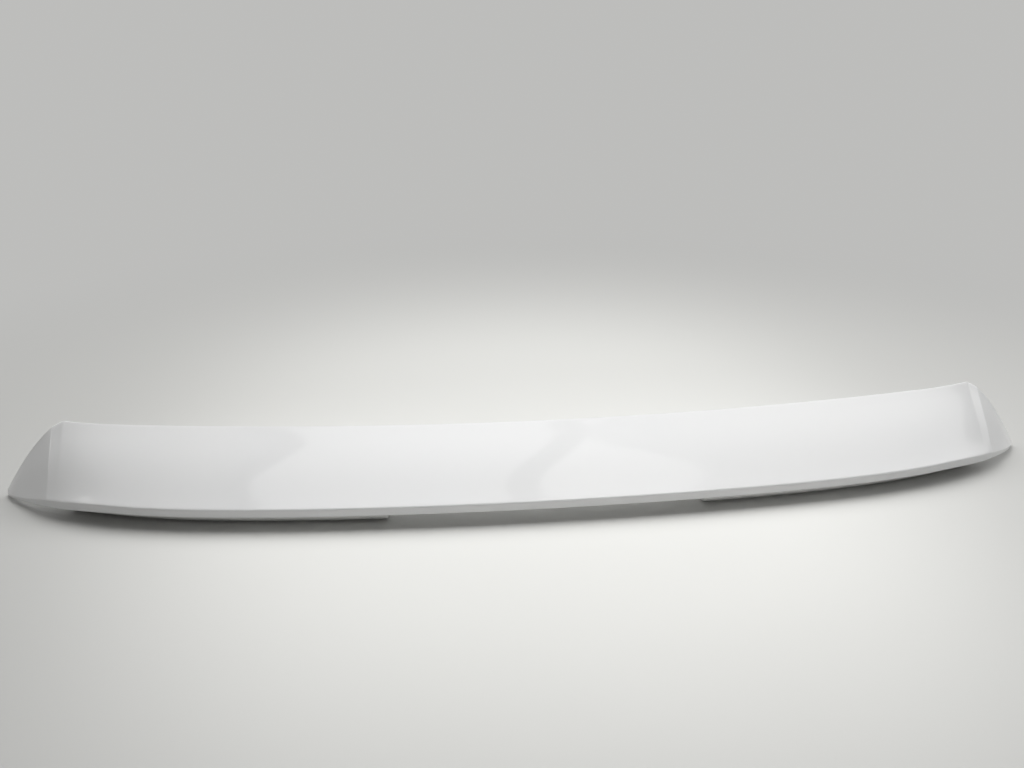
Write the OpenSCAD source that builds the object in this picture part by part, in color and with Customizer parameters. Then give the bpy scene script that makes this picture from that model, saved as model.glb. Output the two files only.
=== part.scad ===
// Rear roof spoiler for a hatchback or estate car, lying on its underside as on a floor.
// Widthwise is X, the trailing edge faces -Y, the car's tailgate would be on the +Y side.

/* [Outer skin] */
// Width over the two cheek tips
span = 1200; // [1100:10:1300]
// Width of each cheek and its crease together, from where the top turns down to the tip
cheek_w = 72; // [64:1:80]
// How far the middle of the trailing edge stands in front of the cheek tips
trail_reach = 133.5; // [120:0.5:145]
// Bow of the trailing edge in plan, from the middle towards the tips
trail_bow = 51; // [44:1:58]
// How far the trailing edge turns in towards its corners, beyond that bow
trail_turn = 69; // [62:1:76]
// How late the trailing edge turns in, higher is later
trail_power = 7; // [6:0.5:9]
// Height of the trailing ridge above the floor
trail_z = 26.5; // [25:0.5:32]
// Fall of the trailing ridge, from its level stretch to the cheeks
trail_drop = 5; // [3:0.5:7]
// Length of that fall, across the car
trail_fall = 78; // [66:1:90]
// How late the trailing ridge falls, higher is later
fall_power = 1.8; // [1.5:0.1:2.2]
// How far the middle of the leading edge lies in front of the cheek tips
lead_reach = 27; // [20:1:34]
// Bow of the leading edge in plan, from the middle to the crease
lead_bow = 28.5; // [20:0.5:34]
// Height of the leading edge above the floor in the middle
lead_z = 76.5; // [70:0.5:84]
// Rise of the leading edge from the middle to the crease
lead_rise = 11; // [6:0.5:14]
// Extra lift of the leading edge right beside each crease
lead_flare = 3.5; // [0.5:0.5:4]
// How close to the crease that extra lift is, higher is closer
flare_power = 24; // [16:2:32]
// Swell of the top face between its leading and trailing edges
crown = 1.5; // [0.5:0.5:3]
// Wall thickness of the skin
skin_t = 2.8; // [2.2:0.1:3]
// Radius along the leading edge
lead_r = 1.2; // [0.8:0.1:2]
// Radius along the trailing ridge and under the lip
trail_r = 2.4; // [1.6:0.1:3]

/* [Trailing lip and leading flange] */
// Height of the trailing lip
lip_h = 10.5; // [9.5:0.5:12]
// How far the lip leans in under the ridge
lip_in = 2; // [1:0.5:3]
// Length of the flange that turns in under the lip
lip_flange = 16; // [12:0.5:18]
// Length of the flange that hangs under the leading edge
lead_flange = 9; // [8:0.5:12]

/* [Cheeks] */
// Height of the lowest point of the cheek tips above the floor
tip_clear = 1.6; // [0.6:0.1:3]
// Height of the cheek tip's edge, from its trailing to its leading corner
tip_edge = 4; // [3.5:0.5:6]
// Depth of the cheek tip, from its trailing to its leading corner
tip_depth = 3.5; // [2.5:0.5:5]
// Lip height at the tip, as a share of the full lip
tip_share = 0.3; // [0.25:0.01:0.4]
// Upward bow of the cheek's rear edge
cheek_bow = 12; // [6:0.5:15]
// Where the bow is fullest, as a share of the way from the crease to the tip
cheek_full = 0.45; // [0.35:0.01:0.5]
// How far out the cheek's trailing edge heads from the crease, before it turns to the tip
corner_out = 50; // [46:0.5:54]
// How far it heads in towards the car over that stretch
corner_in = 39; // [34:0.5:44]
// How far it heads down over that stretch
corner_down = 13.5; // [11:0.5:15]

/* [Creases] */
// Width of the narrow strip between the top face and each cheek
crease_w = 12; // [9:0.5:15]
// Drop of the strip's rear corner from the leading edge
crease_drop = 6; // [4:0.5:9]
// How far that corner is cut back from the leading edge
crease_cut = 2; // [0:0.1:3]
// Half width of the easy bend on the strip's inner side
bend_in = 2; // [1.5:0.1:3]
// Half width of the tight bend on the strip's outer side
bend_out = 1; // [0.8:0.1:2]

/* [Closing panels] */
// Half width of the open bay between the two closing panels
bay_half = 173; // [150:1:185]
// Distance of each panel's outer end from the crease
panel_inset = 10; // [8:1:16]
// Wall thickness of the closing panels
panel_t = 2.5; // [2:0.1:3]
// Setback of the panel behind the lip
panel_back = 4; // [3:0.5:6]
// Further setback of the panel's front at its outer end
panel_tuck = 6; // [0:0.5:9]
// Length of the panel's flange under the lip
panel_lap = 15; // [12:0.5:17]
// Depth of the panel's front slope, front to back
slope_run = 12; // [10:0.5:14]
// Drop of the panel's front slope
slope_drop = 11; // [9:0.5:12]
// Depth of the easy slope from the panel's front edge down to the flat bottom
toe_run = 16; // [12:1:20]
// Radius of the panel's bends
panel_r = 3.5; // [2.8:0.1:4]
// Length of the panel's upper flange
panel_flange = 11; // [9:0.5:14]
// Gap between parts that are bonded to each other
bond_gap = 0.3; // [0.2:0.05:0.5]

/* [Mounting feet] */
// Distance of the outer studs from the panel's outer end
stud_outer_in = 66; // [55:1:75]
// Distance of the inner studs from the panel's inner end
stud_inner_in = 42; // [25:1:60]
// Distance of the clips from the middle
clip_x = 335; // [310:1:350]
// Distance of the locating pins from the panel's outer end
pin_in = 22; // [18:1:26]
// Height of the row of feet above the floor
feet_z = 38; // [34:1:42]
// Radius of each stud's foot
foot_r = 15; // [13:0.5:17]
// How far the feet stand out past the leading edge
foot_out = 6; // [4:0.5:8]
// How far each foot reaches in behind the panel's wall
foot_in = 10; // [8:0.5:12]
// Radius of the clip's seat
clip_seat_r = 11; // [10:0.5:13]
// Radius of the locating pin
pin_r = 4; // [3:0.5:5]
// Length of the locating pin
pin_l = 12; // [8:1:16]
// Radius of the foot under each locating pin
pin_foot_r = 8; // [6.5:0.5:9]

/* [Studs, washers and clips] */
// Thread radius of the studs
stud_r = 3; // [2.5:0.5:4]
// Length of thread that stands out of the foot
stud_l = 22; // [18:1:26]
// Radius of the stud's shank inside the foot
shank_r = 3.6; // [3.4:0.1:4.4]
// Width of the stud's square head
head_w = 18; // [15:0.5:20]
// Thickness of the stud's square head
head_t = 3; // [2:0.5:4]
// Radial clearance of the studs and clips in their holes
hole_gap = 0.05; // [0.03:0.01:0.1]
// Radius of the foam washers
washer_r = 13; // [11:0.5:15]
// Thickness of the foam washers
washer_t = 4; // [3:0.5:5]
// Radial gap between a stud and its washer
washer_gap = 1.6; // [1.3:0.1:2.5]
// Radius of the clip's stem
clip_stem_r = 3.5; // [3:0.1:4]
// Radius of the clip's collar
clip_collar_r = 9; // [8:0.5:10]
// Length of the clip's barbed nose
clip_nose = 15; // [12:1:18]
// Radius over the clip's barbs
barb_r = 5.5; // [4.8:0.1:6]

/* [Foam seals] */
// Width of the foam seals along the car-side edges
seal_w = 6; // [4:0.5:7]
// Thickness of the foam seals
seal_t = 5; // [3:0.5:6]
// Share of the seals' thickness that has their full width
seal_flat = 0.65; // [0.5:0.05:0.8]
// Distance of the leading seal's ends from the creases
seal_stop = 8; // [5:1:30]
// Where the cheek seals start, as a share of the way from the crease to the tip
cheek_seal_from = 0.12; // [0.08:0.01:0.2]
// Where the cheek seals end, as a share of the way from the crease to the tip
cheek_seal_to = 0.86; // [0.8:0.01:0.9]

/* [Hidden] */

half = span / 2;
crease_x = half - cheek_w;
cheek_x = crease_x + crease_w;
tip_z = tip_clear + lip_h * tip_share;
panel_end = crease_x - panel_inset;
stud_outer_x = panel_end - stud_outer_in;
stud_inner_x = bay_half + stud_inner_in;
pin_x = panel_end - pin_in;
main_steps = 16;    // stations from the middle to the crease
bend_steps = 3;     // stations in each bend of the crease
cheek_steps = 10;   // stations from the crease to the tip
arc_steps = 3;      // facets in each small radius
face_steps = 6;     // facets across the top face
panel_steps = 16;   // stations along a closing panel
seal_steps = 22;    // stations along the leading seal
cheek_seal_steps = 8;
round_fn = 48;
over = 1;           // how far a cut runs past the solid

// The shape is drawn from the line between the cheek tips. The part's own origin is at the middle
// of its depth, from the trailing edge to the ends of the outer studs.
stud_end_y = lead_y(stud_outer_x) + foot_out + stud_l;
frame_y = (trail_reach - stud_end_y) / 2;
module in_frame() { translate([0, frame_y, 0]) children(); }
module on_left() { mirror([1, 0, 0]) children(); }

function mix(a, b, t) = a + (b - a) * t;
function unit(v) = v / norm(v);
function ease_in(t) = 1 - (1 - t) * (1 - t);
function bend(a, c, b, t) = (1 - t) * (1 - t) * a + 2 * t * (1 - t) * c + t * t * b;

// Plan of the trailing ridge up to the cheek: a shallow bow that turns in towards the corner
function trail_y(x) =
    let (s = abs(x) / half)
    -trail_reach + trail_bow * s * s + trail_turn * pow(s, trail_power);

// Height of the trailing ridge up to the cheek: level, then falling
function ridge_z(x) =
    trail_z - trail_drop * pow(max(0, 1 - (cheek_x - abs(x)) / trail_fall), fall_power);

// Plan and height of the leading edge between the creases
function lead_y(x) = -lead_reach + lead_bow * pow(x / crease_x, 2);
function lead_edge_z(x) =
    lead_z + lead_rise * pow(x / crease_x, 2) + lead_flare * pow(abs(x) / crease_x, flare_power);

// Share of the full lip that is left at a distance x from the middle
function lip_share(x) =
    mix(1, tip_share, max(0, (abs(x) - crease_x) / (half - crease_x)));

// Points of the two lines that carry the skin, up to the cheek
function lead_point(x) = [x, lead_y(x), lead_edge_z(x)];
function ridge_point(x) = [x, trail_y(x), ridge_z(x)];

// The cheek's rear edge is a bowed line from the crease's rear corner to the tip, and its trailing
// edge a curve from the crease's lower end to the tip
crease_top = lead_point(crease_x);
cheek_top = crease_top + [crease_w, -crease_cut, -crease_drop];
cheek_tip = [half, tip_depth, tip_z + tip_edge];
cheek_ctrl = mix(cheek_top, cheek_tip, cheek_full) + [0, 0, cheek_bow];
function cheek_edge(q) = bend(cheek_top, cheek_ctrl, cheek_tip, q);
corner_from = ridge_point(cheek_x);
corner_ctrl = corner_from + [corner_out, corner_in, -corner_down];
corner_tip = [half, 0, tip_z];
function corner_edge(q) = bend(corner_from, corner_ctrl, corner_tip, q);

// Stations of the skin's right half: [point on the leading edge, point on the trailing ridge]. The
// crease is a flat strip, and both of its bends are short curves on both lines.
inner_bend = crease_x - bend_in;
outer_bend = cheek_x - bend_out;
cheek_start = bend_out / norm(cheek_ctrl - cheek_top) / 2;
corner_start = bend_out / norm(corner_ctrl - corner_from) / 2;
stations = concat(
    [for (i = [0:main_steps])
        let (x = inner_bend * i / main_steps) [lead_point(x), ridge_point(x)]],
    [for (k = [1:bend_steps])
        let (t = k / bend_steps)
        [bend(lead_point(inner_bend), crease_top, mix(crease_top, cheek_top, bend_in / crease_w), t),
         ridge_point(mix(inner_bend, crease_x + bend_in, t))]],
    [for (k = [0:bend_steps])
        let (t = k / bend_steps)
        [bend(mix(cheek_top, crease_top, bend_out / crease_w), cheek_top, cheek_edge(cheek_start), t),
         bend(ridge_point(outer_bend), corner_from, corner_edge(corner_start), t)]],
    [for (k = [1:cheek_steps])
        let (t = ease_in(k / cheek_steps))
        [cheek_edge(mix(cheek_start, 1, t)), corner_edge(mix(corner_start, 1, t))]]);
last_station = len(stations) - 1;
seal_end = crease_x - seal_stop;

// Points of an arc that rounds corner c between a and b with radius r, or, for the inner face of a
// wall, the corner that lies inset inside it, with the same centre where the radius allows
function rounded(a, c, b, r, inset) =
    let (u = unit(a - c), v = unit(b - c),
         m = unit(u + v),
         h = acos(u * v) / 2,
         arc = max(r - inset, r / 8),
         o = c + m * (inset + arc) / sin(h),
         from = unit(u * cos(h) - m),
         to = unit(v * cos(h) - m),
         w = 180 - 2 * h)
    [for (k = [0:arc_steps])
        let (t = k / arc_steps)
        o + (from * sin(w * (1 - t)) + to * sin(w * t)) / sin(w) * arc];

// Unit normal of a segment in its plane, on the wall's inner side
function side_of(a, b) = let (d = unit(b - a)) [d[1], -d[0]];

// Section of the skin in the plane of a station: first coordinate along the top face from the
// leading edge, second one square to it and outwards
function skin_profile(chord, fall, share, inset) =
    let (r = trail_r * share,
         t = inset * share,
         down = [sin(fall), -cos(fall)],
         level = [-cos(fall), -sin(fall)],
         lead = [0, 0],
         ridge = [chord, 0],
         flange_end = lead + down * lead_flange * share,
         heel = ridge + (down * lip_h + level * lip_in) * share,
         toe = heel + level * lip_flange * share,
         nose = rounded(flange_end, lead, ridge, lead_r * share, t),
         brow = rounded(lead, ridge, heel, r, t),
         chin = rounded(ridge, heel, toe, r, t))
    concat([flange_end + side_of(flange_end, lead) * t], nose,
        [for (k = [1:face_steps - 1])
            let (v = k / face_steps, p = mix(nose[arc_steps], brow[0], v))
            p + [0, crown * share * pow(4 * v * (1 - v), 2)]],
        brow, chin, [toe + side_of(heel, toe) * t]);

function mirrored(p, side) = [p[0] * side, p[1], p[2]];

// The section of station i in space, i < 0 on the left
function skin_section(i, inset) =
    let (s = stations[abs(i)], lead = s[0], ridge = s[1],
         along = unit(ridge - lead),
         out = unit([0, 0, 1] - along * along[2]),
         fall = asin(-along[2]))
    [for (p = skin_profile(norm(ridge - lead), fall, lip_share(ridge[0]), inset))
        mirrored(lead + along * p[0] + out * p[1], sign(i + 0.5))];

// Triangles between two rows of points that start at a and b
function strip(a, b, n) =
    [for (j = [0:n - 2]) each [[a + j, a + j + 1, b + j + 1], [a + j, b + j + 1, b + j]]];

// Two triangles that join outer points a and b to the inner points, far places on in the list
function edge_strip(a, b, far) = [[a, b, far + b], [a, far + b, far + a]];

// A thin wall: its outer and inner faces are grids of rows by n points, one after the other
module wall_between(outer, inner) {
    rows = len(outer);
    n = len(outer[0]);
    both = concat([for (row = outer) each row], [for (row = inner) each row]);
    far = rows * n;
    faces = concat(
        [for (i = [0:rows - 2]) each strip((i + 1) * n, i * n, n)],
        [for (i = [0:rows - 2]) each strip(far + i * n, far + (i + 1) * n, n)],
        [for (i = [0:rows - 2]) each edge_strip((i + 1) * n, i * n, far)],
        [for (i = [0:rows - 2]) each edge_strip((i + 1) * n - 1, (i + 2) * n - 1, far)],
        strip(0, far, n),
        strip(far + (rows - 1) * n, (rows - 1) * n, n));
    polyhedron(both, faces);
}

module outer_skin() {
    color("white")
    in_frame()
    wall_between([for (i = [-last_station:last_station]) skin_section(i, 0)],
                 [for (i = [-last_station:last_station]) skin_section(i, skin_t)]);
}

// Section of a closing panel at x, in the YZ plane, from the flange under the lip, down the front
// slope, along the bottom, up the wall that faces the car, to the flange under the top face
function panel_fall(x) =
    atan((lead_edge_z(x) - ridge_z(x)) / (lead_y(x) - trail_y(x)));
function panel_wall_y(x) = lead_y(x) - skin_t - bond_gap;
function under_top_z(x, y) =
    lead_edge_z(x) - tan(panel_fall(x)) * (lead_y(x) - y)
    - (skin_t + bond_gap) / cos(panel_fall(x));
function panel_front_y(x) =
    trail_y(x) + lip_in + panel_back
    + panel_tuck * pow((x - bay_half) / (panel_end - bay_half), 3);
function panel_lip_z(x) = ridge_z(x) - lip_h - bond_gap;
function panel_profile(x, inset) =
    let (z = panel_lip_z(x),
         front = panel_front_y(x),
         wall = panel_wall_y(x),
         a = [front + panel_lap, z],
         b = [front, z],
         c = [front + slope_run, z - slope_drop],
         d = [c[0] + toe_run, 0],
         e = [wall, 0],
         f = [wall, under_top_z(x, wall)],
         g = f - [cos(panel_fall(x)), sin(panel_fall(x))] * panel_flange)
    concat([a + side_of(b, a) * inset],
        rounded(a, b, c, panel_r, inset), rounded(b, c, d, panel_r, inset),
        [d + [tan(atan(c[1] / toe_run) / 2), 1] * inset],
        rounded(d, e, f, panel_r, inset), rounded(e, f, g, panel_r, inset),
        [g + side_of(g, f) * inset]);

// A tray: a swept wall that is closed at both ends, open towards the top face
module panel_tray() {
    rows = panel_steps + 1;
    function row(i, t) =
        let (x = mix(bay_half + t, panel_end - t, i / panel_steps), y = panel_front_y(x) + panel_lap)
        concat([for (p = panel_profile(x, t)) [x, p[0], p[1]]], [[x, y, under_top_z(x, y)]]);
    outer = [for (i = [0:panel_steps]) row(i, 0)];
    inner = [for (i = [0:panel_steps]) row(i, panel_t)];
    m = len(outer[0]);
    n = m - 1;
    both = concat([for (r = outer) each r], [for (r = inner) each r]);
    far = rows * m;
    last = (rows - 1) * m;
    faces = concat(
        [for (i = [0:rows - 2]) each strip((i + 1) * m, i * m, n)],
        [for (i = [0:rows - 2]) each strip(far + i * m, far + (i + 1) * m, n)],
        [for (i = [0:rows - 2]) each edge_strip((i + 1) * m, i * m, far)],
        [for (i = [0:rows - 2]) each edge_strip(i * m + n - 1, (i + 1) * m + n - 1, far)],
        [[for (j = [0:n]) j], [for (j = [n:-1:0]) far + j]],
        [[for (j = [n:-1:0]) last + j], [for (j = [0:n]) far + last + j]],
        edge_strip(n, n - 1, far),
        edge_strip(0, n, far),
        edge_strip(last + n - 1, last + n, far),
        edge_strip(last + n, last, far));
    polyhedron(both, faces);
}

// Something that stands on the panel's wall at x, turned so that its own Z runs along +Y
module on_foot(x) {
    translate([x, lead_y(x) + foot_out, feet_z]) rotate([-90, 0, 0]) children();
}
foot_depth = foot_out + skin_t + bond_gap + foot_in;

module foot(x, r) {
    on_foot(x) translate([0, 0, -foot_depth]) cylinder(r = r, h = foot_depth, $fn = round_fn);
}

module foot_hole(x, r) {
    on_foot(x) translate([0, 0, -foot_depth - over])
        cylinder(r = r + hole_gap, h = foot_depth + 2 * over, $fn = round_fn);
}

module locating_pin() {
    cylinder(r = pin_r, h = pin_l - pin_r / 2, $fn = round_fn);
    translate([0, 0, pin_l - pin_r / 2])
        cylinder(r1 = pin_r, r2 = pin_r / 2, h = pin_r / 2, $fn = round_fn);
}

module closing_panel() {
    color("gainsboro")
    in_frame() {
        difference() {
            union() {
                panel_tray();
                foot(stud_outer_x, foot_r);
                foot(stud_inner_x, foot_r);
                foot(clip_x, clip_seat_r);
                foot(pin_x, pin_foot_r);
            }
            foot_hole(stud_outer_x, shank_r);
            foot_hole(stud_inner_x, shank_r);
            foot_hole(clip_x, clip_stem_r);
        }
        on_foot(pin_x) locating_pin();
    }
}

// A stud: square head behind the foot, plain shank through it, thread that stands out
module stud(x) {
    color("silver")
    in_frame()
    on_foot(x) {
        cylinder(r = stud_r, h = stud_l, $fn = round_fn);
        translate([0, 0, -foot_depth]) cylinder(r = shank_r, h = foot_depth, $fn = round_fn);
        translate([-head_w / 2, -head_w / 2, -foot_depth - head_t]) cube([head_w, head_w, head_t]);
    }
}

module washer(x) {
    color("dimgray")
    in_frame()
    on_foot(x)
    difference() {
        cylinder(r = washer_r, h = washer_t, $fn = round_fn);
        translate([0, 0, -over])
            cylinder(r = stud_r + washer_gap, h = washer_t + 2 * over, $fn = round_fn);
    }
}

// A push-in clip: stem in the foot, collar on it, and a slotted nose with barbs
module clip(x) {
    neck_r = clip_stem_r - 0.5;
    neck_l = 2;
    barb_at = clip_nose * 0.4;
    collar_t = 2;
    slot_w = 2;
    color("ivory")
    in_frame()
    on_foot(x) {
        translate([0, 0, -foot_depth]) cylinder(r = clip_stem_r, h = foot_depth, $fn = round_fn);
        cylinder(r = clip_collar_r, h = collar_t, $fn = round_fn);
        translate([0, 0, collar_t])
        difference() {
            rotate_extrude($fn = round_fn)
                polygon([[0, 0], [neck_r, 0], [neck_r, neck_l], [barb_r, barb_at],
                         [neck_r / 2, clip_nose], [0, clip_nose]]);
            translate([-slot_w / 2, -barb_r - over, neck_l])
                cube([slot_w, 2 * (barb_r + over), clip_nose]);
        }
    }
}

// A foam strip under an edge through the given points, flat back towards -Y, its lower side level
// with the end of the skin's flange. Each point has its share of the full width and thickness.
module foam_strip(points, shares) {
    outline = [[0, -0.5], [seal_flat, -0.5], [1, -0.25], [1, 0.25], [seal_flat, 0.5], [0, 0.5]];
    n = len(outline);
    rows = len(points);
    drop = lead_flange - seal_w / 2;
    all = [for (i = [0:rows - 1]) each [for (o = outline)
        points[i] + [0, bond_gap, 0] + [0, o[0] * seal_t, o[1] * seal_w - drop] * shares[i]]];
    faces = concat(
        [for (i = [0:rows - 2]) each [for (j = [0:n - 1])
            let (k = (j + 1) % n, a = i * n, b = a + n)
            each [[a + j, b + j, b + k], [a + j, b + k, a + k]]]],
        [[for (j = [0:n - 1]) j], [for (j = [n - 1:-1:0]) (rows - 1) * n + j]]);
    polyhedron(all, faces);
}

module leading_seal() {
    color("dimgray")
    in_frame()
    foam_strip([for (i = [0:seal_steps]) lead_point(mix(-seal_end, seal_end, i / seal_steps))],
               [for (i = [0:seal_steps]) 1]);
}

// The cheek's seal follows its rear edge
module cheek_seal() {
    points = [for (k = [0:cheek_seal_steps])
        cheek_edge(mix(cheek_seal_from, cheek_seal_to, k / cheek_seal_steps))];
    color("dimgray")
    in_frame()
    foam_strip(points, [for (p = points) lip_share(p[0])]);
}

outer_skin();
on_left() closing_panel();  // closing_panel_left
closing_panel();  // closing_panel_right
on_left() stud(stud_outer_x);  // stud_outer_left
on_left() stud(stud_inner_x);  // stud_inner_left
stud(stud_inner_x);  // stud_inner_right
stud(stud_outer_x);  // stud_outer_right
on_left() washer(stud_outer_x);  // washer_outer_left
on_left() washer(stud_inner_x);  // washer_inner_left
washer(stud_inner_x);  // washer_inner_right
washer(stud_outer_x);  // washer_outer_right
on_left() clip(clip_x);  // clip_left
clip(clip_x);  // clip_right
leading_seal();
on_left() cheek_seal();  // cheek_seal_left
cheek_seal();  // cheek_seal_right
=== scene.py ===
# %% [markdown]
# # A white roof spoiler for a car
#
# The real part is a thin painted moulding, about 1.2 m wide, that bolts to the top of a tailgate.
# It lies here on its underside. The solids for strength, mounting and collision are loaded first,
# as a fixed frame, and every surface that shows is then made around them.

import math

import bpy
import numpy as np
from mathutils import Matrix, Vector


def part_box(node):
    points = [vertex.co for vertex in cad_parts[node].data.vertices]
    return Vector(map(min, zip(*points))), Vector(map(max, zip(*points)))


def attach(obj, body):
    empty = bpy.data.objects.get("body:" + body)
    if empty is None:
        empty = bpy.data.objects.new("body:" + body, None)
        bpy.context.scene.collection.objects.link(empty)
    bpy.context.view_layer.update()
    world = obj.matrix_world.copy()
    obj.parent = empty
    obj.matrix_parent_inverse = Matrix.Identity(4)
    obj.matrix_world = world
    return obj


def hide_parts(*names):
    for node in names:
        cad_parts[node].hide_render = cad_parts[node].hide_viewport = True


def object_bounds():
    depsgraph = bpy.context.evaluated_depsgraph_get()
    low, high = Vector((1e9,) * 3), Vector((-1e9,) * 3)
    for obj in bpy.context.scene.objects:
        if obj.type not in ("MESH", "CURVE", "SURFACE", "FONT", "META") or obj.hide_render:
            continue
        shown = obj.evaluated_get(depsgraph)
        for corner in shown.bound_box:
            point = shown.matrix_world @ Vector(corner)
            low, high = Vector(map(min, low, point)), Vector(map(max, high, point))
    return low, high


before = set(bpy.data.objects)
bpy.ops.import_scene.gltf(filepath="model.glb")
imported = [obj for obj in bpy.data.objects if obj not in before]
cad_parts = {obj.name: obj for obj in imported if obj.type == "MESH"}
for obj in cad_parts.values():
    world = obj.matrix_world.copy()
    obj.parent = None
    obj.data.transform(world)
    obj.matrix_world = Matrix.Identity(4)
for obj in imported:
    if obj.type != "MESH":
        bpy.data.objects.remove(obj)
cad_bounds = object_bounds()
mm = 0.001
print("nodes:", len(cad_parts))

# %% [markdown]
# ## Sizes
#
# The spoiler is a ruled shape with rounded edges. Two lines carry it: the leading edge, next to the
# car's roof, and the trailing ridge, at the top of the thin lip. Both could be traced point by
# point. Described by a few sizes, from the line between the cheek tips that the frame gives, they
# stay smooth, and a change is made in one place.

# %% Driving sizes, in metres
# Widths of the cheek with its crease, and of the crease alone
half_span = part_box("outer_skin")[1].x
cheek_w, crease_w = 72 * mm, 12 * mm
crease_x = half_span - cheek_w
cheek_x = crease_x + crease_w

# Trailing ridge: how far in front of the tips its middle lies, how it bows and turns in towards
# them, its height, and how it falls over the last stretch before the cheek
trail_reach, trail_bow = 133.5 * mm, 51 * mm
trail_turn, trail_power = 69 * mm, 7
trail_z, trail_drop = 26.5 * mm, 5 * mm
trail_fall, fall_power = 78 * mm, 1.8

# Leading edge: the same, with a rise towards the crease and a lift just beside it
lead_reach, lead_bow = 27 * mm, 28.5 * mm
lead_z, lead_rise = 76.5 * mm, 11 * mm
lead_flare, flare_power = 3.5 * mm, 24

# Swell of the top face, thickness of the wall, radii of the long edges
crown = 1.5 * mm
skin_t = 2.8 * mm
lead_r, trail_r = 1.2 * mm, 2.4 * mm

# Lip and flanges at full size, and what is left of them at the tip
lip_h, lip_in, lip_flange = 10.5 * mm, 2 * mm, 16 * mm
lead_flange = 9 * mm
tip_clear, tip_share = 1.6 * mm, 0.3
tip_edge, tip_depth = 4 * mm, 3.5 * mm
tip_z = tip_clear + lip_h * tip_share

# How the crease falls and where the lines of the cheek are pulled to
crease_drop, crease_cut = 6 * mm, 2 * mm
bend_in, bend_out = 2 * mm, 1 * mm
cheek_bow, cheek_full = 12 * mm, 0.45
corner_out, corner_in, corner_down = 50 * mm, 39 * mm, 13.5 * mm

# The outer stud's end lies a known way behind the leading edge, which gives the line of the tips
foot_out, stud_l = 6 * mm, 22 * mm
stud_low, stud_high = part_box("stud_outer_right")
outer_stud_x = (stud_low.x + stud_high.x) / 2
tips_y = stud_high.y - stud_l - foot_out + lead_reach - lead_bow * (outer_stud_x / crease_x) ** 2
print(f"half span {half_span:.4f} m, line of the tips at y = {tips_y:.4f} m")

# %% [markdown]
# ## The lines that carry the skin
#
# A car body is drawn from a few long curves. They could be Bezier curves placed by hand. Here each
# one is a function of the distance from the middle, so a whole row of points comes out of one call,
# and the left half is the mirror image of the right one.


# %% Leading edge, trailing ridge and cheek edge
def mix(a, b, t):
    """A straight blend from a to b."""
    return a + (b - a) * t


def points(x, y, z):
    """Three arrays, or numbers, as rows of points."""
    return np.stack(np.broadcast_arrays(x, y, z), axis=-1).astype(float)


def unit(v):
    """Each vector divided by its own length."""
    return v / np.linalg.norm(v, axis=-1, keepdims=True)


def lead_point(x):
    """Leading edge: a parabola in plan and in height, lifted a little just beside the crease."""
    s = x / crease_x
    y = tips_y - lead_reach + lead_bow * s**2
    return points(x, y, lead_z + lead_rise * s**2 + lead_flare * s**flare_power)


def ridge_point(x):
    """Trailing ridge up to the cheek: a parabola in plan, plus a high power of the distance that
    turns it in, and level in height until a power of the way to the cheek lets it fall."""
    s = x / half_span
    y = tips_y - trail_reach + trail_bow * s**2 + trail_turn * s**trail_power
    fall = np.maximum(0, 1 - (cheek_x - x) / trail_fall) ** fall_power
    return points(x, y, trail_z - trail_drop * fall)


def bend(a, c, b, t):
    """A quadratic curve from a to b, pulled towards c."""
    t = np.asarray(t)[..., None]
    return (1 - t) ** 2 * a + 2 * t * (1 - t) * c + t**2 * b


crease_top = lead_point(np.array(crease_x))
cheek_top = crease_top + [crease_w, -crease_cut, -crease_drop]
cheek_tip = np.array([half_span, tips_y + tip_depth, tip_z + tip_edge])
cheek_ctrl = mix(cheek_top, cheek_tip, cheek_full) + [0, 0, cheek_bow]
corner_from = ridge_point(np.array(cheek_x))
corner_ctrl = corner_from + [corner_out, corner_in, -corner_down]
corner_tip = np.array([half_span, tips_y, tip_z])


def cheek_edge(q):
    """The cheek's rear edge: a bowed line from the crease's rear corner to the tip."""
    return bend(cheek_top, cheek_ctrl, cheek_tip, q)


def corner_edge(q):
    """The cheek's trailing edge: a curve from the crease's lower end to the tip."""
    return bend(corner_from, corner_ctrl, corner_tip, q)


print("crease top at", np.round(crease_top, 4), "tip at", np.round(cheek_tip, 4))

# %% [markdown]
# ## Stations
#
# A surface is a grid: one direction runs across the car, through stations, and the other runs
# around the section. The crease is a narrow flat strip between two bends, a soft one beside the top
# face and a tight one beside the cheek. A Bevel modifier could round them, but it would give both
# the same radius. Here the stations themselves lie close together along each bend, and at the tip.


# %% Where each station meets the two lines
def stations(main=110, inner=12, outer=10, cheek=64):
    """Leading points and ridge points, in step, from the left tip to the right one. Each bend is a
    quadratic curve that leaves one stretch and joins the next. The second bend ends bend_out along
    the cheek's edges: a quadratic curve sets off at twice the distance to its control point."""
    x = (crease_x - bend_in) * np.linspace(0, 1, main + 1)
    t, u = np.linspace(0, 1, inner + 1)[1:], np.linspace(0, 1, outer + 1)
    q = 1 - (1 - np.linspace(0, 1, cheek + 1)[1:]) ** 2
    q_lead = bend_out / np.linalg.norm(cheek_ctrl - cheek_top) / 2
    q_ridge = bend_out / np.linalg.norm(corner_ctrl - corner_from) / 2
    strip_from = mix(crease_top, cheek_top, bend_in / crease_w)
    strip_to = mix(cheek_top, crease_top, bend_out / crease_w)
    lead = np.concatenate([
        lead_point(x),
        bend(lead_point(x[-1]), crease_top, strip_from, t),
        bend(strip_to, cheek_top, cheek_edge(q_lead), u),
        cheek_edge(mix(q_lead, 1, q)),
    ])
    ridge = np.concatenate([
        ridge_point(x),
        ridge_point(mix(x[-1], crease_x + bend_in, t)),
        bend(ridge_point(cheek_x - bend_out), corner_from, corner_edge(q_ridge), u),
        corner_edge(mix(q_ridge, 1, q)),
    ])
    flip = np.array([-1, 1, 1])
    return np.concatenate([lead[:0:-1] * flip, lead]), np.concatenate([ridge[:0:-1] * flip, ridge])


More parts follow.
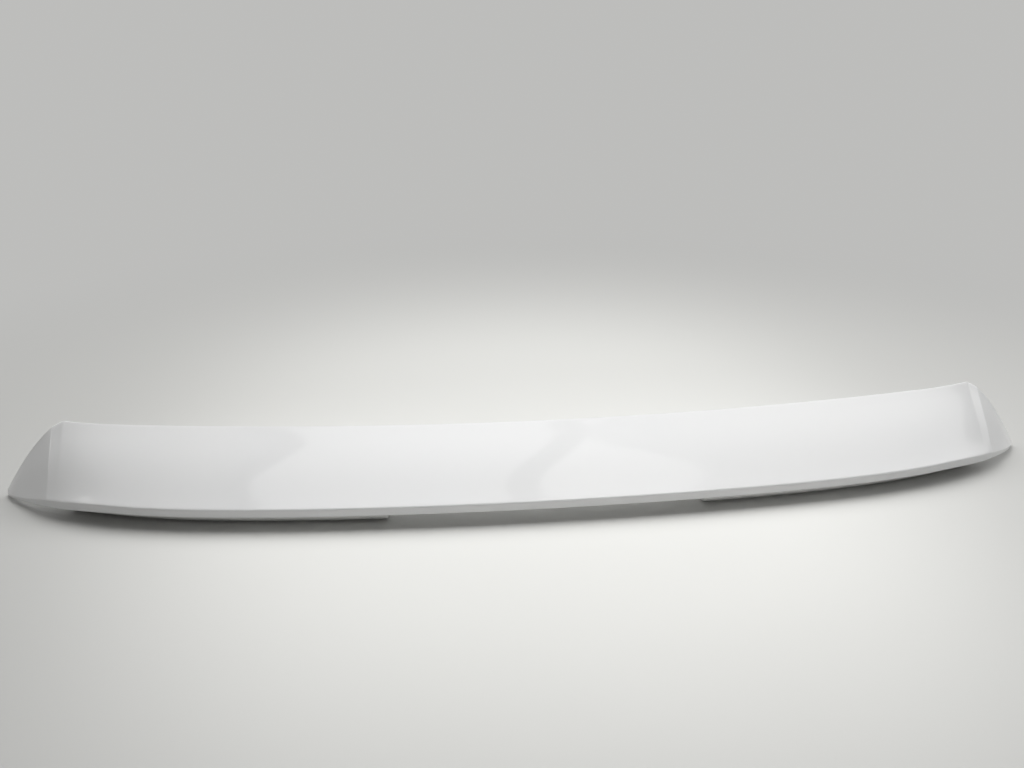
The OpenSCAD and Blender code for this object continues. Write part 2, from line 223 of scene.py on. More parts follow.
def lip_share(x):
    """Share of the full lip that is left: 1 up to the crease, then straight down to the tip's."""
    return mix(1, tip_share, np.clip((np.abs(x) - crease_x) / cheek_w, 0, 1))


lead_line, ridge_line = stations()
print("stations:", len(lead_line))

# %% [markdown]
# ## Rounded corners in a section
#
# Every bend of a moulding has a radius. A corner between two straight stretches is replaced by an
# arc, and the wall's inner face takes the same corner, moved in by the wall's thickness. That keeps
# both faces of the wall parallel, which a bevel on each of them wouldn't. The corners of all the
# stations are worked out together, as arrays.


# %% An arc in each station's corner
def rounded(a, c, b, radius, inset, steps=8, least=1 / 8):
    """Arcs that round the corners c between a and b. For a wall's inner face the corner lies inset
    inside, and the arc keeps the outer one's centre until only the least share of its radius is
    left. Each point is the blend of the arc's two end directions by the sines of its angles."""
    u, v = unit(a - c), unit(b - c)
    middle = unit(u + v)
    h = np.arccos(np.clip((u * v).sum(-1), -1, 1))[..., None] / 2
    radius, inset = np.reshape(radius, (-1, 1)), np.reshape(inset, (-1, 1))
    arc = np.maximum(radius - inset, radius * least)
    centre = c + middle * (inset + arc) / np.sin(h)
    start, end = unit(u * np.cos(h) - middle), unit(v * np.cos(h) - middle)
    w = (math.pi - 2 * h)[..., None]
    t = np.linspace(0, 1, steps + 1)[None, :, None]
    sweep = (start[:, None] * np.sin(w * (1 - t)) + end[:, None] * np.sin(w * t)) / np.sin(w)
    return centre[:, None] + sweep * arc[:, None]


def side_of(a, b):
    """Unit normals of the stretches from a to b, on the wall's inner side."""
    d = unit(b - a)
    return np.stack([d[..., 1], -d[..., 0]], axis=-1)


# %% [markdown]
# ## The outer skin
#
# The section starts on the flange under the leading edge, goes over the top face, which swells a
# little, down the trailing lip, and ends on the flange that turns in under it. It is drawn flat, in
# the plane that holds the station's two points, and then stood up there. A Solidify modifier could
# give the wall its thickness, but here the wall also thins towards the tips.


# %% Sections of the skin
def skin_grid(inset, face_steps=26):
    """Points of the skin's outer face, or of its inner face at a wall's thickness inside it. The
    face rises above its chord by crown times the square of 4v(1 - v), with v the share of the way
    across."""
    share = lip_share(ridge_line[:, 0])
    along = unit(ridge_line - lead_line)
    chord = np.linalg.norm(ridge_line - lead_line, axis=-1)
    out = unit(np.array([0, 0, 1]) - along * along[:, 2:])
    fall = np.arcsin(-along[:, 2])
    down = np.stack([np.sin(fall), -np.cos(fall)], axis=-1)
    level = np.stack([-np.cos(fall), -np.sin(fall)], axis=-1)
    s = share[:, None]
    lead, ridge = np.zeros((len(chord), 2)), np.stack([chord, np.zeros_like(chord)], axis=-1)
    flange_end = lead + down * lead_flange * s
    heel = ridge + (down * lip_h + level * lip_in) * s
    toe = heel + level * lip_flange * s
    wall = inset * share
    nose = rounded(flange_end, lead, ridge, lead_r * share, wall)
    brow = rounded(lead, ridge, heel, trail_r * share, wall)
    chin = rounded(ridge, heel, toe, trail_r * share, wall)
    v = np.arange(1, face_steps)[None, :, None] / face_steps
    face = mix(nose[:, -1:], brow[:, :1], v)
    face[..., 1:] += crown * s[..., None] * (4 * v * (1 - v)) ** 2
    first = flange_end + side_of(flange_end, lead) * wall[:, None]
    last = toe + side_of(heel, toe) * wall[:, None]
    flat = np.concatenate([first[:, None], nose, face, brow, chin, last[:, None]], axis=1)
    return lead_line[:, None] + along[:, None] * flat[..., :1] + out[:, None] * flat[..., 1:]


# %% [markdown]
# ## From grids to a mesh
#
# A thin wall is two grids, the outer and the inner face, joined along their rims. It could be
# bridged by hand in Edit Mode. Here the faces are written down as index arrays: each cell of a grid
# is one quad, and the inner grid runs the other way round so that every face points outwards.


# %% Meshes from arrays
def cells(ids):
    """Quads between the rows and columns of an array of point numbers."""
    corners = [ids[:-1, :-1], ids[:-1, 1:], ids[1:, 1:], ids[1:, :-1]]
    return np.stack(corners, axis=-1).reshape(-1, 4)


def smooth(mesh, sharp=35):
    """Smooth faces, with sharp edges where the surface turns by more than an angle in degrees."""
    mesh.shade_smooth()
    mesh.set_sharp_from_angle(angle=math.radians(sharp))


def make_piece(name, verts, *faces):
    """An object from points and from arrays of faces, each array with its own corner count."""
    mesh = bpy.data.meshes.new(name)
    mesh.from_pydata(verts.reshape(-1, 3), [], [f for group in faces for f in group.tolist()])
    smooth(mesh)
    piece = bpy.data.objects.new(name, mesh)
    bpy.context.scene.collection.objects.link(piece)
    print(f"{name}: {len(mesh.polygons)} faces")
    return piece


def wall_mesh(outer, inner):
    """Points and quads of a wall: both faces, the rims along its two long edges and its ends."""
    rows, n = outer.shape[:2]
    o = np.arange(rows * n).reshape(rows, n)
    i = o + rows * n
    quads = [
        cells(o), cells(i)[:, ::-1],
        cells(np.stack([i[:, 0], o[:, 0]], axis=1)), cells(np.stack([o[:, -1], i[:, -1]], axis=1)),
        cells(np.stack([i[0], o[0]])), cells(np.stack([o[-1], i[-1]])),
    ]
    return np.concatenate([outer, inner]).reshape(-1, 3), np.concatenate(quads)


def fit_on(piece, slot, *nodes):
    """The piece stands for these nodes of the frame, which are hidden, and rides. The slot is not
    used.
    """
    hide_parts(*nodes)
    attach(piece, "root")
    return piece


# %% [markdown]
# ## Building the skin
#
# The two faces become one closed wall, which takes the place of the frame's plainer skin. Its arcs
# are finer than the frame's and would reach a few hundredths of a millimetre past the frame's box,
# so the points are held within it.

# %% Build the skin
verts, quads = wall_mesh(skin_grid(0), skin_grid(skin_t))
skin = make_piece("outer_shell", np.clip(verts, *np.array(cad_bounds)), quads)
fit_on(skin, "painted_skin", "outer_skin")

# %% [markdown]
# ## Closing panels
#
# Under each half of the skin a second moulding closes the hollow. It starts under the lip, slopes
# down to a flat bottom that the spoiler rests on, and rises as the wall that meets the car. It is a
# tray, and could be carved from a block. As it has the same section all along, bent a little
# differently at every station, it is made like the skin instead, with closed ends. Its end edges
# are turned in by shrinking the section over the last two millimetres.

# %% Sizes of the panels and their feet
# Where a panel starts and ends, its wall, its setback behind the lip, the slope down to its flat
# bottom, its radii, and its gap to the skin
bay_half = 173 * mm
panel_end = crease_x - 10 * mm
panel_t = 2.5 * mm
panel_back, panel_tuck, panel_lap = 4 * mm, 6 * mm, 15 * mm
tuck_power = 3
slope_run, slope_drop, toe_run = 12 * mm, 11 * mm, 16 * mm
panel_r, toe_r, end_r = 3.5 * mm, 20 * mm, 2 * mm
inner_end_r = end_r / 4
panel_flange = 11 * mm
bond_gap = 0.3 * mm

# Places and radii of what meets the car: studs, clip and locating pin, each on its foot
stud_xs = np.array([bay_half + 42 * mm, panel_end - 66 * mm])
clip_x = 335 * mm
pin_x = panel_end - 22 * mm
feet_z = 38 * mm
foot_r, clip_seat_r, pin_foot_r = 15 * mm, 11 * mm, 8 * mm
foot_in, foot_ease = 10 * mm, 0.8 * mm
foot_depth = foot_out + skin_t + bond_gap + foot_in
pin_r, pin_l = 4 * mm, 12 * mm
shank_r, clip_stem_r, hole_gap = 3.6 * mm, 3.5 * mm, 0.05 * mm
hole_over = 1 * mm
print("studs at x =", np.round(stud_xs, 4), "pin at", round(pin_x, 4))


# %% Sections of a closing panel
def panel_grid(inset, ends_r, steps=56, end_steps=6):
    """A panel's wall and, at both ends, the corner that reaches up under the top face. The last
    rows are moved and shrunk along a quarter circle of radius ends_r."""
    turn = np.linspace(0, math.pi / 2, end_steps)
    near = bay_half + inset + ends_r * (1 - np.sin(turn[::-1]))
    far = panel_end - inset - ends_r * (1 - np.sin(turn))
    x = np.concatenate([near, np.linspace(near[-1], far[0], steps)[1:-1], far])
    turned_in = ends_r * (1 - np.cos(turn))
    t = inset + np.concatenate([turned_in[::-1], np.zeros(steps - 2), turned_in])
    lead, ridge = lead_point(x), ridge_point(x)
    fall = np.arctan2(lead[:, 2] - ridge[:, 2], lead[:, 1] - ridge[:, 1])
    tuck = panel_tuck * ((x - bay_half) / (panel_end - bay_half)) ** tuck_power
    front = ridge[:, 1] + lip_in + panel_back + tuck
    wall = lead[:, 1] - skin_t - bond_gap

    def under_top(y):
        """Height at which the skin's inner face and the bond leave off, above y."""
        return lead[:, 2] - np.tan(fall) * (lead[:, 1] - y) - (skin_t + bond_gap) / np.cos(fall)

    lip = ridge[:, 2] - lip_h - bond_gap
    ground = np.zeros_like(x)
    corners = [(front + panel_lap, lip), (front, lip), (front + slope_run, lip - slope_drop),
               (front + slope_run + toe_run, ground), (wall, ground), (wall, under_top(wall))]
    a, b, c, d, e, f = (np.stack(p, axis=-1) for p in corners)
    g = f - panel_flange * np.stack([np.cos(fall), np.sin(fall)], axis=-1)
    section = np.concatenate([
        (a + side_of(b, a) * t[:, None])[:, None],
        rounded(a, b, c, panel_r, t), rounded(b, c, d, panel_r, t), rounded(c, d, e, toe_r, t),
        rounded(d, e, f, panel_r, t), rounded(e, f, g, panel_r, t),
        (g + side_of(g, f) * t[:, None])[:, None],
        np.stack([front + panel_lap, under_top(front + panel_lap)], axis=-1)[:, None],
    ], axis=1)
    return points(x[:, None], section[..., 0], section[..., 1])


def tray_mesh():
    """Points and faces of a panel: the wall's two faces and its two long rims, and the two closed
    ends, each an outer and an inner face that a rim joins at the top."""
    outer, inner = panel_grid(0, end_r), panel_grid(panel_t, inner_end_r)
    rows, m = outer.shape[:2]
    o = np.arange(rows * m).reshape(rows, m)
    i = o + rows * m
    loop = np.r_[m - 2, m - 1, 0]
    quads = np.concatenate([
        cells(o[:, :-1]), cells(i[:, :-1])[:, ::-1],
        cells(np.stack([i[:, 0], o[:, 0]], axis=1)),
        cells(np.stack([o[:, -2], i[:, -2]], axis=1)),
        cells(np.stack([o[0, loop], i[0, loop]])), cells(np.stack([i[-1, loop], o[-1, loop]])),
    ])
    ends = np.stack([o[0, ::-1], i[0], o[-1], i[-1, ::-1]])
    used = np.concatenate([quads.ravel(), ends.ravel()])
    keep = np.unique(used)
    number = np.zeros(2 * rows * m, int)
    number[keep] = np.arange(len(keep))
    verts = np.concatenate([outer.reshape(-1, 3), inner.reshape(-1, 3)])[keep]
    return verts, number[quads], number[ends]


# %% [markdown]
# ## Turned shapes
#
# Feet, studs, washers and clips are all round about the axis on which they meet the car. A Screw or
# Spin tool could turn them. Here each is a radius and a height along a profile, carried round the
# axis, because a radius can then also change with the angle, which gives a square head or a screw
# thread from the same formula.


# %% Surfaces turned about an axis
def turned(radius, height, steps=64, closed=False):
    """Points at (radius cos a, radius sin a, height) for angles a all round, with one point at
    each end where the profile reaches the axis. radius is an array over the profile, or over the
    profile and the angles. A closed profile is a ring, so its last row joins its first."""
    a = np.linspace(0, 2 * math.pi, steps, endpoint=False)
    radius = np.broadcast_to(radius if np.ndim(radius) == 2 else np.reshape(radius, (-1, 1)),
                             (len(height), steps))
    grid = points(radius * np.cos(a), radius * np.sin(a), np.reshape(height, (-1, 1)))
    ids = np.arange(grid.shape[0] * steps).reshape(-1, steps)
    ids = np.concatenate([ids, ids[:, :1]], axis=1)
    if closed:
        return grid.reshape(-1, 3), cells(np.concatenate([ids, ids[:1]]))
    ends = points(0, 0, [height[0], height[-1]])
    first, last = np.full(steps, ids.max() + 1), np.full(steps, ids.max() + 2)
    fans = np.concatenate([np.stack([first, ids[0, 1:], ids[0, :-1]], axis=1),
                           np.stack([last, ids[-1, :-1], ids[-1, 1:]], axis=1)])
    return np.concatenate([grid.reshape(-1, 3), ends]), cells(ids), fans


def on_foot(shape, x):
    """A turned shape with its axis along +Y, standing on the face of the foot at x."""
    verts, *faces = shape
    base = lead_point(np.array(abs(x)))[1] + foot_out
    return points(verts[:, 0] + x, verts[:, 2] + base, feet_z - verts[:, 1]), *faces


def together(*shapes):
    """Several shapes, which must have the same kinds of faces, as one."""
    starts = np.cumsum([0] + [len(s[0]) for s in shapes[:-1]])
    faces = [np.concatenate([f + n for f, n in zip(group, starts)])
             for group in zip(*[s[1:] for s in shapes])]
    return np.concatenate([s[0] for s in shapes]), *faces


def eased(profile, radius, steps=5):
    """A profile of (radius, height) corners, each rounded by an arc except the first and last."""
    p = np.array(profile, float)
    arcs = rounded(p[:-2], p[1:-1], p[2:], np.full(len(p) - 2, radius), 0, steps)
    return np.concatenate([p[:1], arcs.reshape(-1, 2), p[-1:]]).T


def carve(piece, operation, shape, hair=1e-6):
    """The piece joined with another shape, or with it cut away. Points left less than a hair apart
    become one."""
    tool = make_piece("tool", *shape)
    change = piece.modifiers.new(operation, "BOOLEAN")
    change.operation, change.object, change.solver = operation, tool, "EXACT"
    piece.modifiers.new("weld", "WELD").merge_threshold = hair
    result = piece.evaluated_get(bpy.context.evaluated_depsgraph_get())
    mesh = bpy.data.meshes.new_from_object(result)
    piece.modifiers.clear()
    piece.data = mesh
    smooth(mesh)
    bpy.data.objects.remove(tool)


# %% [markdown]
# ## Feet, holes and locating pins
#
# Each panel stands off from the car on round feet, which are moulded on it, and next to its outer
# foot a tapered pin finds its place in the car. Where a foot meets the curved tray, the joint's
# line would be slow to draw by hand, so a boolean joins the feet and the pin and cuts the holes.
# Its exact solver leaves some points a hair apart, which a Weld modifier then closes.

# %% Build the two panels, with their feet, holes and locating pins
def foot(x, radius):
    """A round foot through the panel's wall, its edge on the car's side eased."""
    r, h = eased([(0, -foot_depth), (radius, -foot_depth), (radius, 0), (0, 0)], foot_ease)
    return on_foot(turned(r[1:-1], h[1:-1]), x)


def hole(x, radius):
    """The space that a shank or stem needs, a little longer than the foot."""
    r = np.full(2, radius + hole_gap)
    return on_foot(turned(r, np.array([-foot_depth - hole_over, hole_over])), x)


def pin(x):
    """A locating pin with a tapered end."""
    r, h = eased([(pin_r, -foot_out), (pin_r, pin_l - pin_r / 2), (pin_r / 2, pin_l)], foot_ease)
    return on_foot(turned(r, h), x)


closing_panels = []
for side, name in ((-1, "left"), (1, "right")):
    verts, quads, ends = tray_mesh()
    if side < 0:
        verts, quads, ends = verts * [-1, 1, 1], quads[:, ::-1], ends[:, ::-1]
    panel = make_piece(f"panel_{name}", verts, quads, ends)
    carve(panel, "UNION", together(*[foot(side * x, foot_r) for x in stud_xs],
                                   foot(side * clip_x, clip_seat_r),
                                   foot(side * pin_x, pin_foot_r)))
    carve(panel, "DIFFERENCE", together(*[hole(side * x, shank_r) for x in stud_xs],
                                        hole(side * clip_x, clip_stem_r)))
    carve(panel, "UNION", pin(side * pin_x))
    closing_panels.append(fit_on(panel, "painted_panel", f"closing_panel_{name}"))
    print(panel.name, "has", len(panel.data.polygons), "faces after carving")

# %% [markdown]
# ## Studs
#
# Each stud is a bolt whose square head is caught behind its foot. A bump could fake the thread, but
# its outline would stay straight, so the thread is a real one: the radius dips by the thread's
# depth wherever the height and the angle together pass between two turns, and a right-handed helix
# of one millimetre pitch comes out of a single formula.

# %% Build the studs
stud_r = 3 * mm
head_w, head_t, head_ease, squareness = 18 * mm, 3 * mm, 0.5 * mm, 16
pitch, thread_depth, rows_to_turn = 1 * mm, 0.55 * mm, 10
flank, crest = 1.4, 0.2
plain_neck, end_taper, end_share = 2 * pitch, 1.2 * mm, 0.72


def stud(x, steps=48):
    """Radius over height and angle: a square head as a superellipse, a round shank, and a thread
    that starts after a plain neck and fades out at the tip. Over a turn the thread's dip is a
    triangle wave, cut flat at the crest and the root."""
    a = np.linspace(0, 2 * math.pi, steps, endpoint=False)
    c, s = np.abs(np.cos(a)), np.abs(np.sin(a))
    square = (c ** squareness + s ** squareness) ** (-1 / squareness)
    steps_in = np.array([0, head_ease / 3, head_ease])
    head_h = np.concatenate([steps_in, head_t - steps_in[::-1]]) - foot_depth - head_t
    edge_r = head_w / 2 - steps_in[::-1]
    head_r = np.concatenate([edge_r, edge_r[::-1]])
    thread_h = np.linspace(0, stud_l, round(stud_l / pitch) * rows_to_turn + 1)
    turn = thread_h[:, None] / pitch - a / (2 * math.pi)
    dip = 1 - np.clip(flank * np.abs(2 * (turn % 1) - 1) - crest, 0, 1)
    starts = np.clip((thread_h - plain_neck) / pitch, 0, 1)
    stops = np.clip((stud_l - thread_h) / pitch, 0, 1)
    taper = np.clip((stud_l - thread_h) / end_taper, 0, 1)
    thread_r = (stud_r * mix(end_share, 1, taper)[:, None]
                - thread_depth * dip * (starts * stops)[:, None])
    h = np.concatenate([head_h, [-foot_depth, 0], thread_h])
    r = np.concatenate([head_r[:, None] * square, np.full((2, steps), shank_r), thread_r])
    return on_foot(turned(r, h, steps), x)


sides = [("outer_left", -stud_xs[1]), ("inner_left", -stud_xs[0]), ("inner_right", stud_xs[0]),
         ("outer_right", stud_xs[1])]
studs = [fit_on(make_piece(f"screw_{name}", *stud(x)), "stud_steel", f"stud_{name}")
         for name, x in sides]

# %% [markdown]
# ## Washers
#
# A soft foam ring lies on each stud's foot and keeps water out of the car. A torus would be too
# round for a ring that is cut from sheet, so its profile is a block with eased edges, turned.

# %% Build the washers
washer_r, washer_t, washer_gap, washer_ease = 13 * mm, 4 * mm, 1.6 * mm, 0.7 * mm


def washer(x):
    """A ring of foam with eased edges."""
    inner = stud_r + washer_gap
    mid = (inner + washer_r) / 2
    r, h = eased([(mid, 0), (washer_r, 0), (washer_r, washer_t), (inner, washer_t), (inner, 0),
                  (mid, 0)], washer_ease)
    return on_foot(turned(r[:-1], h[:-1], closed=True), x)


washers = [fit_on(make_piece(f"ring_{name}", *washer(x)), "foam", f"washer_{name}")
           for name, x in sides]

# %% [markdown]
# ## Clips
#
# Between the studs of each side a push-in clip of moulded nylon holds the panel to the car. A slot
# across its nose lets the barbs close up on the way in. The whole clip is one turned profile, which
# is quicker than a stem, a collar and a nose that are joined, and only the slot is cut.

# %% Build the clips
clip_collar_r, clip_nose, barb_r = 9 * mm, 15 * mm, 5.5 * mm
collar_t, neck_l, slot_w = 2 * mm, 2 * mm, 2 * mm
neck_r, barb_at, clip_ease = clip_stem_r - 0.5 * mm, 0.4 * clip_nose, 0.35 * mm


def clip(x):
    """Stem, collar, neck and barbed nose in one turned profile."""
    nose_end = collar_t + clip_nose
    r, h = eased([(0, -foot_depth), (clip_stem_r, -foot_depth), (clip_stem_r, 0),
                  (clip_collar_r, 0), (clip_collar_r, collar_t), (neck_r, collar_t),
                  (neck_r, collar_t + neck_l), (barb_r, collar_t + barb_at),
                  (neck_r / 2, nose_end), (0, nose_end)], clip_ease)
    return on_foot(turned(r[1:-1], h[1:-1]), x)


def slot_box(x):
    """A thin block across the nose, as eight points and six faces."""
    corner = np.array([[i, j, k] for i in (-1, 1) for j in (-1, 1) for k in (0, 1)], float)
    size = np.array([slot_w / 2, 2 * barb_r, clip_nose])
    block = corner * size + [0, 0, collar_t + neck_l]
    faces = np.array([[0, 1, 3, 2], [4, 6, 7, 5], [0, 4, 5, 1], [2, 3, 7, 6], [0, 2, 6, 4],
                      [1, 5, 7, 3]])
    return on_foot((block, faces), x)


clips = []
for name, x in (("left", -clip_x), ("right", clip_x)):
    fastener = make_piece(f"fastener_{name}", *clip(x))
    carve(fastener, "DIFFERENCE", slot_box(x))
    clips.append(fit_on(fastener, "clip_nylon", f"clip_{name}"))

# %% [markdown]
# ## Foam seals
#
# Strips of foam run along the edges that meet the car, one under the leading edge and one on each
# cheek, and keep out water and rattles. A bevelled curve would be round all over. Here a
# superellipse is carried along the edge, square on the spoiler's side, where the strip is glued,
# and round on the side that the car will press.

# %% Build the foam seals
seal_w, seal_t = 6 * mm, 5 * mm
seal_end = crease_x - 8 * mm
seal_drop = lead_flange - seal_w / 2
seal_taper, lead_taper, thinnest = 1.5 * mm, 40 * mm, 0.4
round_power, square_power = 2.3, 9
cheek_seal_from, cheek_seal_to = 0.12, 0.86


def foam_strip(path, share, taper, around=28):
    """A strip carried along a path. Its section is a superellipse, whose power is higher on the
    spoiler's side. Each point's share scales it, and over the taper's length a quarter circle
    thins it to the thinnest share at both ends."""
    n = len(path)
    a = np.linspace(0, 2 * math.pi, around, endpoint=False)
    c, s = np.cos(a), np.sin(a)
    power = np.where(c > 0, round_power, square_power)
    out = 0.5 + 0.5 * np.sign(c) * np.abs(c) ** (2 / power)
    up = 0.5 * np.sign(s) * np.abs(s) ** (2 / power)
    length = np.concatenate([[0], np.cumsum(np.linalg.norm(np.diff(path, axis=0), axis=1))])
    to_end = np.minimum(length, length[-1] - length)
    thin = np.sqrt(np.clip(1 - (1 - np.clip(to_end / taper, 0, 1)) ** 2, thinnest**2, 1))
    size = (share * thin)[:, None]
    y = path[:, 1:2] + bond_gap + out * seal_t * size
    z = path[:, 2:] + up * seal_w * size - seal_drop * share[:, None]
    grid = points(np.broadcast_to(path[:, :1], y.shape), y, z)
    ids = np.arange(n * around).reshape(n, around)
    ids = np.concatenate([ids, ids[:, :1]], axis=1)
    ends = np.stack([ids[0, :-1][::-1], ids[-1, :-1]])
    return grid, cells(ids), ends


def close_ends(n, end=0.003, extra=6):
    """Shares of a path from 0 to 1, with some extra ones close together at its two ends."""
    tight = np.linspace(0, 1, extra + 1)[:-1] * end
    return np.concatenate([tight, mix(end, 1 - end, np.linspace(0, 1, n)), 1 - tight[::-1]])


along = mix(-seal_end, seal_end, close_ends(160))
lead_path = lead_point(np.abs(along))
lead_path[:, 0] = along
seals = [make_piece("foam_leading", *foam_strip(lead_path, np.ones(len(along)), lead_taper))]
fit_on(seals[0], "foam", "leading_seal")
for side, name in ((-1, "left"), (1, "right")):
    path = cheek_edge(mix(cheek_seal_from, cheek_seal_to, close_ends(48)))
    strip = foam_strip(path, lip_share(path[:, 0]), seal_taper)
    if side < 0:
        strip = (strip[0] * [-1, 1, 1], *[f[:, ::-1] for f in strip[1:]])
    seals.append(fit_on(make_piece(f"foam_cheek_{name}", *strip), "foam", f"cheek_seal_{name}"))

# %% [markdown]
# ## Materials as expressions
#
# A material is a network of nodes, and most of it is arithmetic. It could be wired up in the Shader
# Editor. The class below holds one socket of the network, and adding or multiplying two of them
# adds the Math node that does it, so a formula in Python becomes a formula in the shader.


# %% Sockets that can be reckoned with
class Wire:
    """A socket of a material's network, or what leaves a node, as a value in an expression."""

    def __init__(self, socket):
        self.socket = socket

    def node(self, kind, settings=None, values=None, out=0):
        """Another node of the same network. Settings are the node's own choices. Values, or wires,
        go into its inputs, by name or by number."""
        tree = self.socket.id_data
        made = tree.nodes.new(kind)
        for key, value in (settings or {}).items():
            setattr(made, key, value)
        for key, value in (values or {}).items():
            if isinstance(value, Wire):
                tree.links.new(value.socket, made.inputs[key])
            else:
                made.inputs[key].default_value = value
        return Wire(made.outputs[out])

    def math(self, operation, a, b=0.0):
        """One step of arithmetic on two wires or numbers."""
        return self.node("ShaderNodeMath", {"operation": operation}, {0: a, 1: b})

    def __add__(self, other):
        return self.math("ADD", self, other)

    def __mul__(self, other):
        return self.math("MULTIPLY", self, other)

    def __sub__(self, other):
        return self.math("SUBTRACT", self, other)

    def __rsub__(self, other):
        return self.math("SUBTRACT", other, self)

    __radd__ = __add__
    __rmul__ = __mul__

    def noise(self, scale, detail=2.0, roughness=0.5):
        """Noise of this position, with that many features to a metre, from 0 to 1."""
        return self.node("ShaderNodeTexNoise", {"normalize": True},
                         {"Vector": self, "Scale": scale, "Detail": detail,
                          "Roughness": roughness})

    def between(self, low, high):
        """0 below low, 1 above high, and a soft step between them."""
        return self.node("ShaderNodeMapRange", {"interpolation_type": "SMOOTHSTEP"},
                         {"Value": self, "From Min": low, "From Max": high})

    def blend(self, a, b):
        """Colour a where this is 0, colour b where it is 1."""
        return self.node("ShaderNodeMix", {"data_type": "RGBA"}, {0: self, 6: a, 7: b}, out=2)


def finish_of(name, **constants):
    """A new material, its shader with constants on its sockets, and a wire of the position on the
    object in metres."""
    material = bpy.data.materials.new(name)
    material.use_nodes = True
    shader = material.node_tree.nodes["Principled BSDF"]
    for key, value in constants.items():
        shader.inputs[key.replace("_", " ")].default_value = value
    place = Wire(shader.inputs["Base Color"]).node("ShaderNodeTexCoord", out="Object")
    return material, shader, place


def set_on(shader, **wires):
    """Links wires to the shader's sockets, by name."""
    for key, wire in wires.items():
        wire.socket.id_data.links.new(wire.socket, shader.inputs[key.replace("_", " ")])


def relief(height, depth, strength=1.0):
    """A normal that a height bends as if a height of 1 stood depth metres proud."""
    return height.node("ShaderNodeBump", None,
                       {"Strength": strength, "Distance": depth, "Height": height})


def wear(material, *objects):
    """Gives the objects this material only."""
    for obj in objects:
        obj.data.materials.clear()
        obj.data.materials.append(material)
        for polygon in obj.data.polygons:
            polygon.material_index = 0
    print(f"{material.name}: worn by {', '.join(obj.name for obj in objects)}")


# %% [markdown]
# ## White paint
#
# The skin is painted like the car: a white base under a clear coat. Paint is never quite flat. The
# coat has orange peel, which is a shallow pebbling two or three millimetres across, and a longer
# swell from the moulding under it, and a little dust lies on it. Painted textures would need the
# skin unwrapped. Noise that is read at the place on the piece needs no unwrapping, and stays sharp
# from near.

# %% Gloss white paint
white, cool_white = (0.812, 0.814, 0.818, 1), (0.800, 0.804, 0.812, 1)
dust_grey = (0.62, 0.60, 0.56, 1)
peel_share, swell_share, paint_depth = 0.08, 3, 0.02 * mm
paint, shader, place = finish_of("gloss_white_paint", IOR=1.5, Coat_Weight=1.0,
                                 Coat_Roughness=0.04, Coat_IOR=1.5)
peel = place.noise(420, 2.0, 0.45)
swell = place.noise(14, 1.0, 0.4)
cloud = place.noise(5, 3.0)
dust = place.noise(900, 3.0, 0.7).between(0.62, 0.78)
tint = cloud.between(0.3, 0.7).blend(cool_white, white)
tint = (dust * 0.06).blend(tint, dust_grey)
set_on(shader, Base_Color=tint, Roughness=0.26 + 0.06 * cloud + 0.15 * dust,
       Normal=relief(peel * peel_share + swell * swell_share, paint_depth))
wear(paint, skin)

# %% [markdown]
# ## Satin paint
#
# The closing panels wear the same colour with less gloss, because nobody looks at them. The skin's
# own material with a higher roughness would nearly do. This one has a fine grain as well, and its
# coat is thinner and rougher, so that it shows no clear reflection.

# %% Satin paint of the closing panels
satin, shader, place = finish_of("satin_white_paint", IOR=1.5, Coat_Weight=0.3,
                                 Coat_Roughness=0.25)
panel_grey, panel_white, grain_depth = (0.735, 0.735, 0.725, 1), (0.76, 0.76, 0.75, 1), 0.03 * mm
grain = place.noise(1600, 2.0, 0.6)
cloud = place.noise(9, 3.0)
tint = cloud.between(0.35, 0.7).blend(panel_grey, panel_white)
set_on(shader, Base_Color=tint, Roughness=0.38 + 0.1 * cloud,
       Normal=relief(grain, grain_depth, 0.5))
wear(satin, *closing_panels)

# %% [markdown]
# ## Foam
#
# Closed-cell foam is a mass of tiny bubbles, and where it is cut they show as pits with no shine.
# Modelled pits would cost millions of faces. A Voronoi texture has the same pattern of cells, and
# its distance from each cell's centre bends the normal into a pit and darkens the pit's colour, as
# painted shade.

# %% Closed-cell foam
foam_finish, shader, place = finish_of("closed_cell_foam", Roughness=0.9, Sheen_Weight=0.15,
                                       Sheen_Roughness=0.6)
pit_shade_black, foam_black, pit_depth = (0.022, 0.022, 0.023, 1), (0.055, 0.055, 0.056, 1), 0.15 * mm
cells_of_foam = place.node("ShaderNodeTexVoronoi", {"feature": "F1"},
                           {"Vector": place, "Scale": 2600.0, "Randomness": 1.0})
cell = cells_of_foam.between(0.15, 0.55)
patch = place.noise(120, 3.0)
# Painted shade in the pits: darker towards each cell's centre, mixed with a random patchy tone
tint = (cell * 0.7 + patch * 0.3).blend(pit_shade_black, foam_black)
set_on(shader, Base_Color=tint, Normal=relief(cell, pit_depth, 0.8))
wear(foam_finish, *seals, *washers)

# %% [markdown]
# ## Zinc-plated steel
#
# The studs are plated with zinc, a blue-grey metal with a faint blotchy spangle. One even grey
# would look like paint, because a metal shows mostly in how its gloss varies, so the noise that
# tints it drives its roughness too.

# %% Zinc-plated steel
zinc, shader, place = finish_of("zinc_plated_steel", Metallic=1.0)
zinc_blue, zinc_yellow, fine_depth = (0.56, 0.57, 0.58, 1), (0.66, 0.66, 0.64, 1), 0.02 * mm
spangle = place.noise(260, 4.0, 0.6)
fine = place.noise(3500, 2.0)
tint = spangle.between(0.35, 0.65).blend(zinc_blue, zinc_yellow)
set_on(shader, Base_Color=tint, Roughness=0.24 + 0.16 * spangle,
       Normal=relief(fine, fine_depth, 0.5))
wear(zinc, *studs)

# %% [markdown]
# ## Nylon
#
# The clips are natural nylon, a milky plastic that lets a little light in. Glass-like transmission
# would be too clear for it, so a quarter of the light scatters under the surface.

